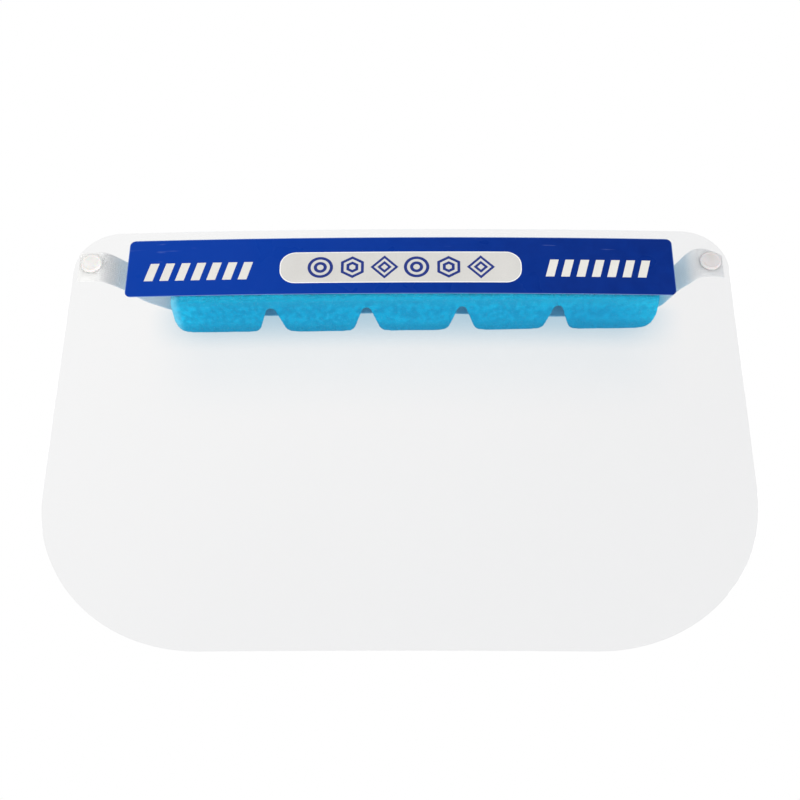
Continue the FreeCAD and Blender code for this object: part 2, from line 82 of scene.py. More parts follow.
class Nodes:
    """A node tree being put together."""

    def __init__(self, tree):
        self.tree = tree

    def feed(self, socket, value):
        if isinstance(value, bpy.types.NodeSocket):
            self.tree.links.new(value, socket)
        elif socket.type == "RGBA" and len(value) == 3:
            socket.default_value = (*value, 1)
        else:
            socket.default_value = value

    def add(self, kind, settings=None, **inputs):
        """A new node; an input named To_Min here is the one that Blender calls To Min."""
        made = self.tree.nodes.new(kind)
        for key, value in (settings or {}).items():
            setattr(made, key, value)
        for key, value in inputs.items():
            self.feed(made.inputs[key.replace("_", " ")], value)
        return made

    def math(self, operation, first, second=0.0):
        made = self.add("ShaderNodeMath", {"operation": operation})
        self.feed(made.inputs[0], first)
        self.feed(made.inputs[1], second)
        return made.outputs[0]

    def plus(self, first, second):
        return self.math("ADD", first, second)

    def minus(self, first, second):
        return self.math("SUBTRACT", first, second)

    def times(self, first, second):
        return self.math("MULTIPLY", first, second)

    def swing(self, value, middle, reach):
        """The value's distance from its middle, scaled by reach."""
        return self.times(self.minus(value, middle), reach)

    def fade(self, value, start, stop, low=0.0, high=1.0):
        """low at start and before, high at stop and after, and a smooth change between."""
        made = self.add(
            "ShaderNodeMapRange",
            {"interpolation_type": "SMOOTHSTEP"},
            Value=value,
            From_Min=start,
            From_Max=stop,
            To_Min=low,
            To_Max=high,
        )
        return made.outputs["Result"]

    def window(self, value, start, full, fading, stop):
        """0 outside start and stop, 1 from full to fading, and a smooth change between."""
        return self.times(self.fade(value, start, full), self.fade(value, stop, fading))

    def mix(self, amount, first, second):
        made = self.add("ShaderNodeMix", {"data_type": "RGBA"})
        self.feed(made.inputs[0], amount)
        self.feed(made.inputs[6], first)
        self.feed(made.inputs[7], second)
        return made.outputs[2]

    def mix_shaders(self, amount, first, second):
        made = self.add("ShaderNodeMixShader", Fac=amount)
        self.feed(made.inputs[1], first.outputs[0])
        self.feed(made.inputs[2], second.outputs[0])
        return made


class Recipe(Nodes):
    """A material being put together. Texture places are metres in the shield's frame."""

    def __init__(self, name):
        self.material = bpy.data.materials.new(name)
        self.material.use_nodes = True
        super().__init__(self.material.node_tree)
        self.surface = self.tree.nodes["Principled BSDF"]
        self.place = self.add("ShaderNodeTexCoord").outputs["Object"]
        split = self.add("ShaderNodeSeparateXYZ", Vector=self.place)
        self.across, self.deep, self.up = split.outputs

    def grain(self, size, detail=3.0, stretch=(1, 1, 1)):
        """Soft noise from 0 to 1 whose features are about size metres across."""
        place = self.place
        if stretch != (1, 1, 1):
            place = self.add("ShaderNodeMapping", Vector=place, Scale=stretch).outputs[0]
        made = self.add("ShaderNodeTexNoise", Vector=place, Scale=1 / size, Detail=detail)
        return made.outputs["Fac"]

    def cells(self, size):
        """Distance from the nearest of many scattered points, about size metres apart."""
        made = self.add("ShaderNodeTexVoronoi", Vector=self.place, Scale=1 / size)
        return made.outputs["Distance"]

    def bump(self, height, depth, strength=1.0):
        made = self.add("ShaderNodeBump", Height=height, Distance=depth, Strength=strength)
        self.feed(self.surface.inputs["Normal"], made.outputs["Normal"])

    def finish(self, **inputs):
        """Sets the surface's inputs and gives the material."""
        for key, value in inputs.items():
            self.feed(self.surface.inputs[key.replace("_", " ")], value)
        return self.material

    def finish_with(self, shader):
        """Puts a shader in place of the plain surface and gives the material."""
        self.feed(self.tree.nodes["Material Output"].inputs["Surface"], shader.outputs[0])
        return self.material


# ---------------------------------------------------------------- camera and light

CAMERA_TURN, CAMERA_RISE, CAMERA_ROLL = (math.radians(a) for a in (-1.0, 30.55, 0.36))
CAMERA_AIM = Vector((0.44 * MM, VISOR_LOW.y, -74.1 * MM))
CAMERA_DISTANCE = 705.5 * MM
# Both in millimetres, as Blender has them.
FOCAL_LENGTH = 68.92
SENSOR_WIDTH = 36

LIT_POINT = Vector((0, 0, -0.05))
SURROUND_STRENGTH = 0.85
CARD_STRENGTH = 0.05
CARD_HEADING = Vector((0, -0.86, 0.5)).normalized()
# The cosine of the angle off the card's heading, where the card begins and where it is full.
CARD_EDGE = (0.60, 0.85)


def make_camera():
    """The photograph's view: from in front and below, looking up, a hair to one side."""
    forward = Vector(
        (
            math.sin(CAMERA_TURN) * math.cos(CAMERA_RISE),
            math.cos(CAMERA_TURN) * math.cos(CAMERA_RISE),
            math.sin(CAMERA_RISE),
        )
    )
    level = Vector((math.cos(CAMERA_TURN), -math.sin(CAMERA_TURN), 0))
    upright = level.cross(forward)
    right = level * math.cos(CAMERA_ROLL) + upright * math.sin(CAMERA_ROLL)
    above = upright * math.cos(CAMERA_ROLL) - level * math.sin(CAMERA_ROLL)
    data = bpy.data.cameras.new("camera")
    data.sensor_width = SENSOR_WIDTH
    data.lens = FOCAL_LENGTH
    camera = bpy.data.objects.new("camera", data)
    bpy.context.collection.objects.link(camera)
    turned = Matrix((right, above, -forward)).transposed().to_4x4()
    camera.matrix_world = Matrix.Translation(CAMERA_AIM - forward * CAMERA_DISTANCE) @ turned
    bpy.context.scene.camera = camera


def make_world():
    """A white surround with one dark card, up in front, which only reflections see."""
    world = bpy.data.worlds.new("studio")
    world.use_nodes = True
    bpy.context.scene.world = world
    n = Nodes(world.node_tree)
    ray = n.add("ShaderNodeLightPath")
    heading = n.add("ShaderNodeTexCoord").outputs["Generated"]
    towards_card = n.add("ShaderNodeVectorMath", {"operation": "DOT_PRODUCT"})
    n.feed(towards_card.inputs[0], heading)
    n.feed(towards_card.inputs[1], CARD_HEADING)
    card = n.fade(towards_card.outputs["Value"], *CARD_EDGE)
    reflected = n.times(card, ray.outputs["Is Glossy Ray"])
    dimmed = n.add(
        "ShaderNodeMapRange", Value=reflected, To_Min=SURROUND_STRENGTH, To_Max=CARD_STRENGTH
    )
    seen = n.math("MAXIMUM", ray.outputs["Is Camera Ray"], dimmed.outputs["Result"])
    background = n.tree.nodes["Background"]
    n.feed(background.inputs["Color"], (1, 1, 1))
    n.feed(background.inputs["Strength"], seen)


def add_softbox(name, place, size, power, mirrored=True):
    """A rectangular lamp aimed at the shield; glossy surfaces show it only if mirrored."""
    data = bpy.data.lights.new(name, "AREA")
    data.shape = "RECTANGLE"
    data.size, data.size_y = size
    data.energy = power
    light = bpy.data.objects.new(name, data)
    bpy.context.collection.objects.link(light)
    light.location = place
    light.visible_camera = False
    light.visible_glossy = mirrored
    light.rotation_euler = (LIT_POINT - Vector(place)).to_track_quat("-Z", "Y").to_euler()


def make_lights():
    add_softbox("key", (-1.2, -0.8, 0.9), (0.8, 0.8), 7)
    add_softbox("low_fill", (0, -0.33, -0.66), (1.0, 0.4), 4, mirrored=False)
    add_softbox("side_fill", (1.3, -0.7, 0.1), (0.8, 0.8), 5)
    add_softbox("back", (0.3, 1.2, 0.6), (0.9, 0.9), 6)


# ---------------------------------------------------------------- materials


def clear_sheet_material():
    """Clear PET: light goes straight through, faintly grey, with a little haze and gloss.

    Painted shade greys it more towards the lower right, away from the key light, and a
    painted blue shadow and bounce of the pad lies on it under the pad.
    """
    r = Recipe("clear_pet")
    clearest, shaded_grey = (0.993, 0.993, 0.993), (0.957, 0.958, 0.961)
    pad_shadow_blue = (0.70, 0.81, 0.875)
    haze_grey, haze_share = (0.85, 0.87, 0.9), 0.004
    refraction = 1.45

    # Painted shade: the sheet's faint grey deepens towards the lower right, away from the key
    # light.
    shade_slant = r.plus(r.times(r.across, 0.55), r.times(r.up, -0.60))
    cloud = r.swing(r.grain(110 * MM, 1.0), 0.5, 30 * MM)
    tint_and_painted_shade = r.mix(r.fade(r.plus(shade_slant, cloud), -130 * MM, 170 * MM), clearest, shaded_grey)

    # Painted shadow: a blue shadow and bounce of the pad, painted on the sheet below the pad's
    # underside and fading out past its ends.
    near_painted_shadow = r.fade(r.up, -48 * MM, -27 * MM, 0, 0.86)
    far_painted_shadow = r.fade(r.up, -88 * MM, -40 * MM, 0, 0.14)
    shadow_below_band = r.fade(r.up, FOAM_LOW.z + 0.5 * MM, FOAM_LOW.z - 8 * MM)
    shadow_left_limit = r.fade(r.across, FOAM_LOW.x - 12 * MM, FOAM_LOW.x + 24 * MM)
    shadow_right_limit = r.fade(r.across, FOAM_HIGH.x + 12 * MM, FOAM_HIGH.x - 24 * MM)
    painted_pad_shadow = r.times(r.plus(near_painted_shadow, far_painted_shadow), shadow_below_band)
    painted_pad_shadow = r.times(r.times(painted_pad_shadow, shadow_left_limit), shadow_right_limit)
    tint_and_painted_shade = r.mix(painted_pad_shadow, tint_and_painted_shade, pad_shadow_blue)

    clear = r.add("ShaderNodeBsdfTransparent", Color=tint_and_painted_shade)
    haze = r.add("ShaderNodeBsdfDiffuse", Color=haze_grey)
    body = r.mix_shaders(haze_share, clear, haze)
    waves = r.grain(50 * MM, 1.0)
    ripple = r.add("ShaderNodeBump", Height=waves, Distance=0.2 * MM, Strength=0.1)
    gloss = r.add(
        "ShaderNodeBsdfGlossy", Color=(1, 1, 1), Roughness=0.05, Normal=ripple.outputs[0]
    )
    # Light passes unbent, so from inside the sheet the index has to be turned over.
    inside = r.add("ShaderNodeNewGeometry").outputs["Backfacing"]
    index = r.fade(inside, 0, 1, refraction, 1 / refraction)
    mirror = r.add("ShaderNodeFresnel", IOR=index).outputs[0]
    return r.finish_with(r.mix_shaders(mirror, body, gloss))


def header_film_material():
    """Blue printed film: glossy, painted lighter to the left where the key light falls, with
    fine wear and a paler rim along its edges.
    """
    r = Recipe("blue_film")
    lit_left_blue, shaded_right_blue = (0.0015, 0.036, 0.295), (0.0010, 0.016, 0.150)
    mottle_blue = (0.004, 0.045, 0.32)
    scratch_blue = (0.25, 0.33, 0.60)
    edge_blue = (0.26, 0.42, 0.70)

    # Painted light: the blue is lighter at the left end, where the key light falls, and darker
    # at the right end as painted shade.
    blue = r.mix(r.fade(r.across, BAND_LOW.x, BAND_HIGH.x), lit_left_blue, shaded_right_blue)
    mottle = r.plus(0.15, r.swing(r.grain(6 * MM, 4.0), 0.5, 0.35))
    blue = r.mix(mottle, blue, mottle_blue)
    scratch = r.fade(r.grain(4 * MM, 6.0, (0.25, 1, 2.2)), 0.66, 0.76)
    blue = r.mix(r.times(scratch, 0.12), blue, scratch_blue)

    # Paler along all four edges of the film, in a rim under half a millimetre wide.
    rim_start, rim_full = 0.45 * MM, 0.05 * MM
    middle = (BAND_LOW.z + BAND_HIGH.z) / 2
    half_high = (BAND_HIGH.z - BAND_LOW.z) / 2
    beside = r.math("ABSOLUTE", r.across)
    above = r.math("ABSOLUTE", r.minus(r.up, middle))
    end = r.fade(beside, BAND_HIGH.x - rim_start, BAND_HIGH.x - rim_full)
    long_side = r.fade(above, half_high - rim_start, half_high - rim_full)
    edge = r.math("MAXIMUM", end, long_side)
    blue = r.mix(r.times(edge, 0.5), blue, edge_blue)

    r.bump(r.grain(3 * MM), 0.04 * MM, 0.5)
    rough = r.fade(r.grain(20 * MM), 0.3, 0.7, 0.26, 0.36)
    return r.finish(Base_Color=blue, Roughness=rough, Specular_IOR_Level=0.07)


def print_material(name, colour, speckle):
    """Ink on the film: a nearly even colour with a fine screen and soft blotches."""
    r = Recipe(name)
    screen = r.swing(r.cells(0.7 * MM), 0.35, speckle)
    blotch = r.swing(r.grain(12 * MM), 0.5, speckle * 1.6)
    dark = tuple(c * 0.72 for c in colour)
    ink = r.mix(r.plus(0.15, r.plus(screen, blotch)), colour, dark)
    r.bump(r.grain(1.2 * MM, 2.0), 0.03 * MM, 0.4)
    rough = r.fade(r.grain(10 * MM, 2.0), 0.3, 0.7, 0.38, 0.5)
    return r.finish(Base_Color=ink, Roughness=rough, Specular_IOR_Level=0.15)


def foam_material():
    """Open-cell foam: matte blue with fine pores, painted brightest at the left where the key
    light falls, with a painted highlight on the left tip.

    Painted shade darkens it towards the wearer, and where its front turns under.
    """
    r = Recipe("blue_foam")
    middle_blue = (0.002, 0.550, 0.790)
    lit_left_blue, shaded_right_blue = (0.001, 0.580, 0.855), (0.001, 0.500, 0.745)
    shaded_back_blue, shaded_under_blue = (0.001, 0.18, 0.34), (0.001, 0.26, 0.46)
    speckle_blue, pore_blue = (0.001, 0.30, 0.52), (0.03, 0.58, 0.88)
    blotch_blue, highlight_tip_blue = (0.004, 0.40, 0.66), (0.30, 0.76, 0.93)

    # Painted light: brighter towards the left end, where the key light falls, and darker
    # towards the right end as painted shade.
    left = r.fade(r.across, FOAM_LOW.x + 26 * MM, FOAM_LOW.x + 3 * MM)
    colour = r.mix(left, middle_blue, lit_left_blue)
    right = r.fade(r.across, FOAM_HIGH.x - 60 * MM, FOAM_HIGH.x - 30 * MM)
    colour = r.mix(right, colour, shaded_right_blue)
    # Painted shade: darker towards the back, the side that faces the wearer.
    back = r.fade(r.deep, FOAM_HIGH.y - 12 * MM, FOAM_HIGH.y - 1 * MM)
    colour = r.mix(r.times(back, 0.75), colour, shaded_back_blue)
    # Painted shade: darker low on the front, where the front face turns under.
    level = r.minus(r.up, r.times(r.across, PAD_TILT))
    underside = FOAM_LOW.z - PAD_DROP
    low = r.fade(level, underside + 4.5 * MM, underside + 1 * MM)
    front = r.fade(r.deep, FOAM_LOW.y + 7.5 * MM, FOAM_LOW.y + 2 * MM)
    turned_under_shade = r.times(low, front)
    colour = r.mix(r.times(turned_under_shade, 0.62), colour, shaded_under_blue)

    pores = r.fade(r.cells(1.1 * MM), 0.10, 0.55)
    fine = r.grain(2.3 * MM, 3.0, (1, 0.6, 1))
    speckle = r.fade(fine, 0.38, 0.62)
    colour = r.mix(r.times(speckle, 0.62), colour, speckle_blue)
    colour = r.mix(r.times(pores, 0.14), colour, pore_blue)
    blotch = r.fade(r.grain(14 * MM, 2.0), 0.35, 0.65, 0.0, 0.08)
    colour = r.mix(blotch, colour, blotch_blue)
    # Painted highlight: the pale left tip, where the key light falls.
    left_tip_highlight = r.fade(r.across, FOAM_LOW.x + 5 * MM, FOAM_LOW.x)
    colour = r.mix(r.times(left_tip_highlight, 0.6), colour, highlight_tip_blue)

    r.bump(r.plus(fine, r.times(pores, 0.6)), 0.5 * MM, 0.8)
    return r.finish(
        Base_Color=colour,
        Roughness=0.95,
        Specular_IOR_Level=0.08,
        Sheen_Weight=0.04,
        Sheen_Roughness=0.6,
    )


def elastic_material():
    """White knitted elastic, a little see-through: fine ribs along it and picks across it.

    Painted shade with a blue bounce of the pad tints it on its way from the sheet to the pad
    and where it faces the pad. Painted shade greys it at the fold beside the left snap, and
    painted light makes it palest at its end there, where the key light falls.
    """
    r = Recipe("elastic_knit")
    pick_length, rib_width = 1.3 * MM, 1.15 * MM
    knit_dark, knit_light = (0.84, 0.845, 0.85), (0.94, 0.942, 0.945)
    worn_grey, fold_shade_grey = (0.78, 0.79, 0.80), (0.62, 0.62, 0.63)
    lit_end_white = (0.97, 0.968, 0.96)
    shaded_between_blue, shaded_beside_blue = (0.60, 0.75, 0.84), (0.22, 0.68, 0.85)
    shaded_facing_blue = (0.16, 0.72, 0.93)

    weave = r.add("ShaderNodeUVMap", {"uv_map": "weave"}).outputs[0]
    split = r.add("ShaderNodeSeparateXYZ", Vector=weave)
    along, over = split.outputs[0], split.outputs[1]
    pick = r.math("SINE", r.times(along, math.tau / pick_length))
    rib = r.math("SINE", r.times(over, math.tau / rib_width))
    knit = r.times(pick, rib)
    colour = r.mix(r.fade(knit, -0.8, 0.8), knit_dark, knit_light)
    worn = r.fade(r.grain(9 * MM), 0.35, 0.7, 0, 0.35)
    colour = r.mix(worn, colour, worn_grey)

    # Painted shade: bluer grey on its way from the sheet to the pad, for the shade and blue
    # bounce of the pad.
    between = r.window(r.deep, -24.7 * MM, -19.5 * MM, -3.0 * MM, -0.5 * MM)
    colour = r.mix(r.times(between, 0.48), colour, shaded_between_blue)
    # Painted shade: cyan where the right half runs just in front of the pad's end, for the
    # shade and blue bounce of the pad.
    before_pad = r.fade(r.deep, -0.5 * MM, -3.0 * MM)
    beside_right_shade = r.window(r.across, 120 * MM, 126 * MM, 128 * MM, 134 * MM)
    beside_right_shade = r.times(before_pad, beside_right_shade)
    colour = r.mix(r.times(beside_right_shade, 0.6), colour, shaded_beside_blue)
    # Painted shade: greyer at the fold beside the left snap.
    fold = r.window(r.across, -149 * MM, -142 * MM, -141 * MM, -135 * MM)
    colour = r.mix(r.times(fold, 0.42), colour, fold_shade_grey)
    # Painted light: palest at the left end by the snap, where the key light falls.
    lit_end = r.fade(r.across, -142 * MM, -151 * MM)
    colour = r.mix(lit_end, colour, lit_end_white)
    from_middle = r.math("ABSOLUTE", r.across)
    # Painted shade: blue on the face turned to the pad, for the shade and blue bounce of the
    # pad.
    inner_face = r.fade(r.deep, 0.6 * MM, 0.3 * MM)
    facing_pad_shade = r.times(r.fade(from_middle, 118 * MM, 108 * MM), inner_face)
    colour = r.mix(r.times(facing_pad_shade, 0.65), colour, shaded_facing_blue)

    r.bump(r.plus(knit, r.times(pick, 0.5)), 0.12 * MM, 0.7)
    r.finish(Base_Color=colour, Roughness=0.85, Specular_IOR_Level=0.2, Sheen_Weight=0.15)
    through = r.add("ShaderNodeBsdfTranslucent", Color=colour)
    light_passing = r.fade(from_middle, 106 * MM, 124 * MM, 0.12, 0.68)
    return r.finish_with(r.mix_shaders(light_passing, r.surface, through))


def snap_material(name, colour):
    """Moulded acetal: satin white with faint flow marks and a matt grain."""
    r = Recipe(name)
    flow = r.fade(r.grain(4 * MM), 0.3, 0.7)
    white = r.mix(flow, colour, tuple(c * 0.93 for c in colour))
    r.bump(r.grain(0.6 * MM, 2.0), 0.03 * MM, 0.5)
    rough = r.fade(r.grain(2 * MM, 2.0), 0.3, 0.7, 0.30, 0.42)
    return r.finish(
        Base_Color=white, Roughness=rough, Subsurface_Weight=0.15, Subsurface_Scale=1 * MM
    )


def tape_material():
    """Double-sided tissue tape: off-white, with the criss-cross of its paper."""
    r = Recipe("tissue_tape")
    off_white, fibre_shade = (0.82, 0.82, 0.79), (0.70, 0.70, 0.66)
    fibre = r.grain(2 * MM, 5.0, (0.3, 1, 1))
    paper = r.mix(r.fade(fibre, 0.35, 0.65), off_white, fibre_shade)
    r.bump(fibre, 0.06 * MM, 0.6)
    return r.finish(Base_Color=paper, Roughness=0.7)


def floor_material():
    """Pale matt paint, very slightly uneven."""
    r = Recipe("pale_floor")
    darker, lighter = (0.93, 0.93, 0.93), (0.95, 0.95, 0.95)
    pale = r.mix(r.fade(r.grain(250 * MM, 4.0), 0.3, 0.7), darker, lighter)
    r.bump(r.grain(10 * MM), 0.3 * MM, 0.2)
    return r.finish(Base_Color=pale, Roughness=0.9, Specular_IOR_Level=0.1)


def set_material(node, material):
    """Gives a CAD node one of the materials above, in every slot it has."""
    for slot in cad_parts[node].material_slots:
        slot.material = material


# ---------------------------------------------------------------- meshes

# Faces that meet at more than this are shaded with a crease between them.
CREASE_ANGLE = math.radians(40)
FLOOR_HALF = 40.0
FLOOR_DROP = 0.55


def make_piece(name, vertices, faces, material, smooth=True):
    """A mesh object of one material, shaded smooth with creases or else flat."""
    mesh = bpy.data.meshes.new(name)
    mesh.from_pydata(vertices, [], faces)
    mesh.validate()
    mesh.materials.append(material)
    if smooth:
        mesh.shade_smooth()
        mesh.set_sharp_from_angle(angle=CREASE_ANGLE)
    piece = bpy.data.objects.new(name, mesh)
    bpy.context.collection.objects.link(piece)
    return piece


def make_floor():
    """A plain floor, some way under the shield."""
    level = VISOR_LOW.z - FLOOR_DROP
    signs = ((-1, -1), (1, -1), (1, 1), (-1, 1))
    corners = [(x * FLOOR_HALF, y * FLOOR_HALF, level) for x, y in signs]
    floor = make_piece("floor", corners, [(0, 1, 2, 3)], floor_material(), smooth=False)


def loft(rings, closed_ends=True):
    """Vertices and faces of a tube through rings that all have the same number of points."""
    size = len(rings[0])
    vertices = [p for ring in rings for p in ring]
    faces = []
    for row in range(len(rings) - 1):
        for column in range(size):
            a = row * size + column
            b = row * size + (column + 1) % size
            faces.append((a, b, b + size, a + size))
    if closed_ends:
        faces.append(tuple(reversed(range(size))))
        faces.append(tuple(range(len(vertices) - size, len(vertices))))
    return vertices, faces


def lathe(name, profile, place, material, steps=96):
    """A body of revolution: profile is (radius, height) pairs from one end to the other."""
    turns = [2 * math.pi * n / steps for n in range(steps)]
    rings = [
        [place @ Vector((radius * math.cos(a), radius * math.sin(a), height)) for a in turns]
        for radius, height in profile
    ]
    return make_piece(name, *loft(rings), material)


def rounded_columns(left, right, low, high, radius, step=3 * MM, turns=10):
    """Where a round-cornered plate is and how tall, from left to right: (across, low, high)."""
    columns = []
    for n in range(turns):
        angle = math.pi / 2 * n / turns
        inset = radius * (1 - math.sin(angle))
        columns.append((left + radius * (1 - math.cos(angle)), low + inset, high - inset))
    spans = max(1, round((right - left - 2 * radius) / step))
    for n in range(spans + 1):
        across = left + radius + (right - left - 2 * radius) * n / spans
        columns.append((across, low, high))
    mirrored = [(left + right - across, a, b) for across, a, b in columns[:turns]]
    return columns + mirrored[::-1]


def plate(columns, back, front):
    """A thin plate lying on the bent sheet, from back to front in front of the sheet."""
    rings = []
    for across, low, high in columns:
        section = ((low, back), (high, back), (high, front), (low, front))
        rings.append([on_sheet(across, up, proud) for up, proud in section])
    return loft(rings)


def gather(parts):
    """Several (vertices, faces) pairs as one."""
    vertices, faces = [], []
    for more, sides in parts:
        start = len(vertices)
        vertices += more
        faces += [tuple(start + n for n in face) for face in sides]
    return vertices, faces


def polygon_ring(centre, sides, outer, inner, back, front):
    """A flat ring with this many straight sides, inside and out; with many, it is round."""
    x, z = centre
    turns = [math.pi / 2 + 2 * math.pi * n / sides for n in range(sides)]
    rings = [
        [on_sheet(x + radius * math.cos(a), z + radius * math.sin(a), proud) for a in turns]
        for radius, proud in ((inner, back), (outer, back), (outer, front), (inner, front))
    ]
    return loft(rings + rings[:1], closed_ends=False)


# ---------------------------------------------------------------- prints on the header band

# How far in front of the sheet each layer ends; all start just inside the film.
PRINT_BACK = BAND_THICKNESS - 0.01 * MM
BORDER_FRONT = BAND_THICKNESS + 0.015 * MM
PANEL_FRONT = BAND_THICKNESS + 0.03 * MM
INK_FRONT = BAND_THICKNESS + 0.045 * MM

# The lozenge's left, right, low and high edges.
PANEL = (-58.0 * MM, 58.6 * MM, -7.8 * MM, 9.5 * MM)
PANEL_CORNER = 7.2 * MM
PANEL_BORDER = 0.45 * MM

TARGET_COUNT = 6
TARGET_PITCH = 15.6 * MM
# Sides, and size against the round one.
TARGET_SHAPES = ((64, 1.0), (6, 1.04), (4, 1.1))
# Outer and inner radius of a round target's two rings.
TARGET_RINGS = ((6.2 * MM, 4.65 * MM), (3.2 * MM, 1.6 * MM))

BAR_COUNT = 7
# A bar's width and lean, against the bars' pitch.
BAR_WIDTH = 0.56
BAR_LEAN = 0.35
# The rows' left, right, low and high edges.
LEFT_BARS = (-124.5 * MM, -71 * MM, -5.6 * MM, 4.6 * MM)
RIGHT_BARS = (70.5 * MM, 122.5 * MM, -4.6 * MM, 5.4 * MM)

WHITE_INK = (0.84, 0.84, 0.82)
GREY_INK = (0.57, 0.56, 0.537)
NAVY_INK = (0.018, 0.035, 0.20)
BAR_INK = (0.66, 0.645, 0.61)


def make_panel():
    """The pale lozenge in the band's middle, on a slightly larger white one that edges it."""
    left, right, low, high = PANEL
    edge = PANEL_BORDER
    outer = rounded_columns(
        left - edge, right + edge, low - edge, high + edge, PANEL_CORNER + edge
    )
    border = make_piece(
        "panel_border",
        *plate(outer, PRINT_BACK, BORDER_FRONT),
        print_material("white_ink", WHITE_INK, 0.2),
    )
    panel = make_piece(
        "panel",
        *plate(rounded_columns(*PANEL, PANEL_CORNER), PRINT_BACK, PANEL_FRONT),
        print_material("grey_ink", GREY_INK, 0.22),
    )
    return [border, panel]


def make_panel_marks():
    """Plain targets, round, six-sided and four-sided by turns, in place of the lettering."""
    left, right, low, high = PANEL
    parts = []
    for n in range(TARGET_COUNT):
        across = (left + right) / 2 + (n - (TARGET_COUNT - 1) / 2) * TARGET_PITCH
        centre = (across, (low + high) / 2)
        sides, size = TARGET_SHAPES[n % len(TARGET_SHAPES)]
        for outer, inner in TARGET_RINGS:
            parts.append(
                polygon_ring(centre, sides, outer * size, inner * size, PRINT_BACK, INK_FRONT)
            )
    return make_piece(
        "panel_marks",
        *gather(parts),
        print_material("navy_ink", NAVY_INK, 0.3),
        smooth=False,
    )


def make_end_marks(name, left, right, low, high):
    """A row of slanted bars, in place of the lettering at one end."""
    pitch = (right - left) / BAR_COUNT
    wide = pitch * BAR_WIDTH
    lean = pitch * BAR_LEAN
    parts = []
    for n in range(BAR_COUNT):
        start = left + n * pitch
        corners = (
            (start, low),
            (start + wide, low),
            (start + wide + lean, high),
            (start + lean, high),
        )
        back = [on_sheet(x, z, PRINT_BACK) for x, z in corners]
        front = [on_sheet(x, z, INK_FRONT) for x, z in corners]
        parts.append(loft([back, front]))
    return make_piece(
        name,
        *gather(parts),
        print_material(name + "_ink", BAR_INK, 0.2),
        smooth=False,
    )


def make_prints():
    pieces = make_panel() + [make_panel_marks()]
    pieces.append(make_end_marks("left_marks", *LEFT_BARS))
    pieces.append(make_end_marks("right_marks", *RIGHT_BARS))
    for piece in pieces:
        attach(piece, "shield")


# ---------------------------------------------------------------- the foam pad

NOTCH_MIDDLE = 6.9 * MM
NOTCH_PITCH = 46.5 * MM
NOTCH_COUNT = 4
NOTCH_DEPTH = 20.2 * MM
NOTCH_ROOT = 3.0 * MM
NOTCH_MOUTH = 13.7 * MM
# How far from its corner the rounding starts, at the mouth, up a side and along the root.
MOUTH_REACH = 4.4 * MM
SIDE_REACH = 2.2 * MM
ROOT_REACH = 1.4 * MM
# The same at the pad's two back corners: along the end, and along the back.
RIGHT_CORNER = (15 * MM, 9 * MM)
LEFT_CORNER = (14.5 * MM, 7.5 * MM)

# The pad is stuck on slightly crooked: a little low, and rising to the right.
PAD_DROP = 0.45 * MM
PAD_TILT = 0.008

PAD_VOXEL = 0.8 * MM
# How far the skin swells or sinks and how far apart; then the same for its pores.
SWELL, SWELL_SIZE = 0.22 * MM, 18 * MM
PORE, PORE_SIZE = 0.10 * MM, 1.1 * MM


def round_corners(corners, steps=10):
    """An outline with its corners, each (x, y, reach before, reach after), rounded off."""
    outline = []
    for n, (x, y, before, after) in enumerate(corners):
        here = Vector((x, y))
        last = Vector(corners[n - 1][:2])
        following = Vector(corners[(n + 1) % len(corners)][:2])
        if not before:
            outline.append(here)
            continue
        start = here + (last - here).normalized() * before
        stop = here + (following - here).normalized() * after
        for k in range(steps + 1):
            t = k / steps
            outline.append(start * (1 - t) ** 2 + here * 2 * t * (1 - t) + stop * t * t)
    return outline


def pad_outline(front_spans=40):
    """The pad from above: bent front, softly rounded ends, and a back with splayed notches."""
    gap = VISOR_LOW.y - FOAM_LOW.y
    corners = []
    for n in range(front_spans + 1):
        across = FOAM_LOW.x + (FOAM_HIGH.x - FOAM_LOW.x) * n / front_spans
        corners.append((across, on_sheet(across, 0, gap).y, 0, 0))
    back = FOAM_HIGH.y
    corners.append((FOAM_HIGH.x, back, *RIGHT_CORNER))
    for n in reversed(range(NOTCH_COUNT)):
        middle = NOTCH_MIDDLE + (n - (NOTCH_COUNT - 1) / 2) * NOTCH_PITCH
        root = back - NOTCH_DEPTH
        corners += [
            (middle + NOTCH_MOUTH / 2, back, MOUTH_REACH, MOUTH_REACH),
            (middle + NOTCH_ROOT / 2, root, SIDE_REACH, ROOT_REACH),
            (middle - NOTCH_ROOT / 2, root, ROOT_REACH, SIDE_REACH),
            (middle - NOTCH_MOUTH / 2, back, MOUTH_REACH, MOUTH_REACH),
        ]
    corners.append((FOAM_LOW.x, back, *reversed(LEFT_CORNER)))
    return round_corners(corners)


def apply_modifiers(piece):
    """Bakes a piece's modifiers into its mesh."""
    graph = bpy.context.evaluated_depsgraph_get()
    made = bpy.data.meshes.new_from_object(piece.evaluated_get(graph))
    piece.modifiers.clear()
    piece.data = made


def worn_skin(vertex):
    """Where a vertex of the pad goes: out or in with the swell and the pores, and crooked."""
    place = vertex.co
    rise = SWELL * noise.noise(place / SWELL_SIZE) + PORE * noise.noise(place / PORE_SIZE)
    crooked = Vector((0, 0, place.x * PAD_TILT - PAD_DROP))
    return place + vertex.normal * rise + crooked


